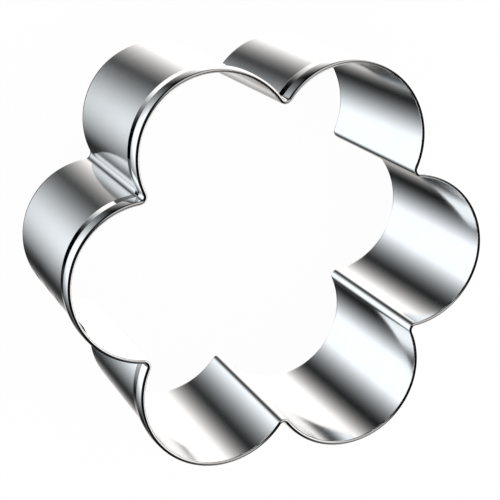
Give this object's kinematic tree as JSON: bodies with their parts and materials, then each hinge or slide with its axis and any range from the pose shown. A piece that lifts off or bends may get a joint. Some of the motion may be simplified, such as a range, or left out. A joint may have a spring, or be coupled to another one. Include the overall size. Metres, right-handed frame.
{
  "type": "cookie cutter",
  "caption": "Flower-shaped cookie cutter of thin polished steel strip, with a plain cutting edge, a rolled rim and a spot-welded lap seam.",
  "frame": {"origin": "on the flower's centre line, in the plane of the cutting edge", "axes": "+Z from the cutting edge up to the rolled rim; +X along the middle of one petal, so the seam's petal lies along -X"},
  "size_m": [0.0675, 0.0618, 0.03],
  "materials": {
    "polished_steel": "stainless strip, mirror polished, with faint rolling lines along the strip",
    "weld_steel": "bare weld metal, satin, with the dull mark of the electrodes"
  },
  "bodies": {
    "root": {"cutter_band": "polished_steel", "seam_spot_welds": "weld_steel"}
  },
  "joints": []
}
